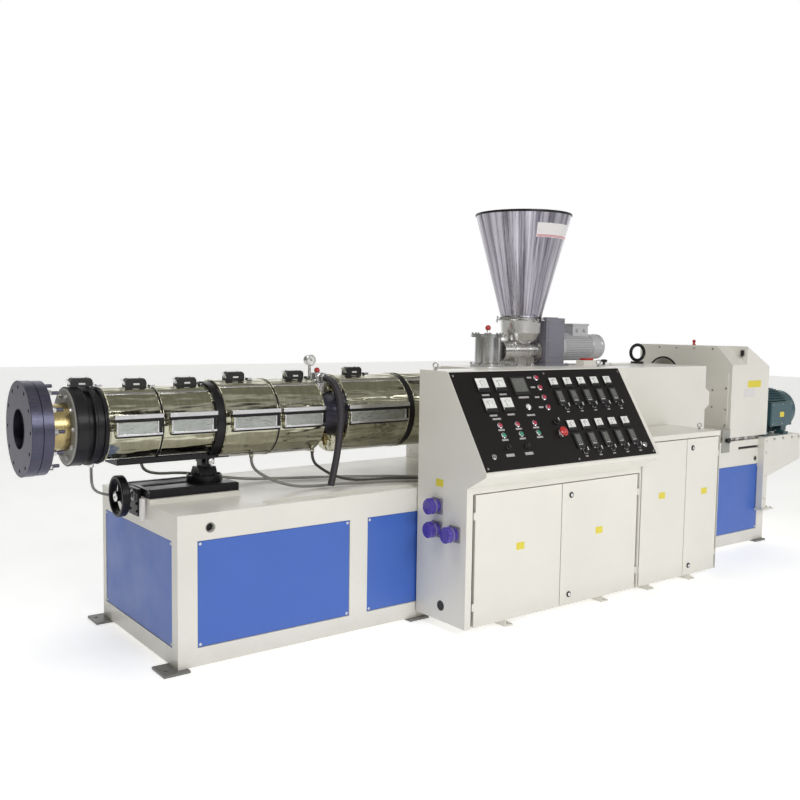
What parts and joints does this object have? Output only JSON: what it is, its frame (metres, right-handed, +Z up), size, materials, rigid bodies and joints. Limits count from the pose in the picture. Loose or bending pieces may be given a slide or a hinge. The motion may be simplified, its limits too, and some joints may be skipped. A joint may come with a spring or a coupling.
{
  "type": "plastic extruder",
  "caption": "Conical twin-screw plastic extruder on a long bed, with heated barrel, die flange, control cabinet, feed hopper, gearbox cover, belt guard and main motor.",
  "frame": {"origin": "middle of the machine footprint, at floor level", "axes": "+X along the barrel from the die end towards the main motor, +Y away from the operator side, +Z up"},
  "size_m": [6.01, 1.603, 2.387],
  "materials": {
    "cream_paint": "satin",
    "blue_paint": "satin",
    "grey_plate": "matte",
    "black_paint": "gloss",
    "nitrided_steel": "satin",
    "brass": "machined",
    "polished_steel": "polished",
    "bare_steel": "satin",
    "black_plastic": "satin",
    "grey_paint": "satin",
    "silver_paint": "satin",
    "panel_black": "satin",
    "violet_plastic": "gloss",
    "teal_paint": "satin",
    "black_rubber": "satin",
    "grey_conduit": "satin"
  },
  "bodies": {
    "machine": {"barrel": "nitrided_steel", "barrel_flange": "black_paint", "barrel_support": "black_paint", "base_panels": "blue_paint", "bed_frame": "cream_paint", "bed_panels": "blue_paint", "belt_guard": "cream_paint", "cable_post": "cream_paint", "clamp_ring": "black_paint", "conduit_1": "grey_conduit", "conduit_2": "grey_conduit", "conduit_3": "grey_conduit", "control_cabinet": "cream_paint", "control_console": "cream_paint", "control_panel": "panel_black", "cover_ducts": "polished_steel", "die_adapter": "brass", "die_flange": "nitrided_steel", "drive_cabinet": "cream_paint", "feed_throat": "bare_steel", "feeder_gearbox": "grey_paint", "feeder_motor": "silver_paint", "foot_pads": "grey_plate", "gearbox_cover": "cream_paint", "handwheel_bracket": "black_paint", "heater_cover_1": "polished_steel", "heater_cover_2": "polished_steel", "heater_cover_3": "polished_steel", "heater_cover_4": "polished_steel", "heater_cover_5": "polished_steel", "heater_cover_6": "polished_steel", "hopper": "polished_steel", "input_shaft": "bare_steel", "inspection_pot": "polished_steel", "lifting_ring": "black_paint", "main_motor": "teal_paint", "motor_bracket": "cream_paint", "power_sockets": "violet_plastic", "rear_base": "cream_paint", "sensor_lead": "grey_conduit", "slide_rail": "black_paint", "terminal_boxes": "black_plastic", "vacuum_hose": "black_rubber", "vent_port": "bare_steel", "water_pipes": "bare_steel"},
    "handwheel": {"handwheel": "black_paint"},
    "cabinet_door_left": {"cabinet_door_left": "cream_paint"},
    "cabinet_door_right": {"cabinet_door_right": "cream_paint"},
    "drive_door_left": {"drive_door_left": "cream_paint"},
    "drive_door_right": {"drive_door_right": "cream_paint"}
  },
  "joints": [
    {"name": "cabinet_door_left_hinge", "type": "hinge", "parent": "machine", "child": "cabinet_door_left", "pos_m": [-0.99, -0.6585, 0.4], "axis": [0, 0, -1], "range_deg": [0, 110]},
    {"name": "cabinet_door_right_hinge", "type": "hinge", "parent": "machine", "child": "cabinet_door_right", "pos_m": [0.342, -0.6585, 0.4], "axis": [0, 0, 1], "range_deg": [0, 90]},
    {"name": "drive_door_left_hinge", "type": "hinge", "parent": "machine", "child": "drive_door_left", "pos_m": [0.374, -0.6585, 0.5], "axis": [0, 0, -1], "range_deg": [0, 90]},
    {"name": "drive_door_right_hinge", "type": "hinge", "parent": "machine", "child": "drive_door_right", "pos_m": [1.164, -0.6585, 0.5], "axis": [0, 0, 1], "range_deg": [0, 110]},
    {"name": "handwheel_turn", "type": "hinge", "parent": "machine", "child": "handwheel", "pos_m": [-2.533, 0.2665, 0.768], "axis": [1, 0, 0], "continuous": true}
  ]
}
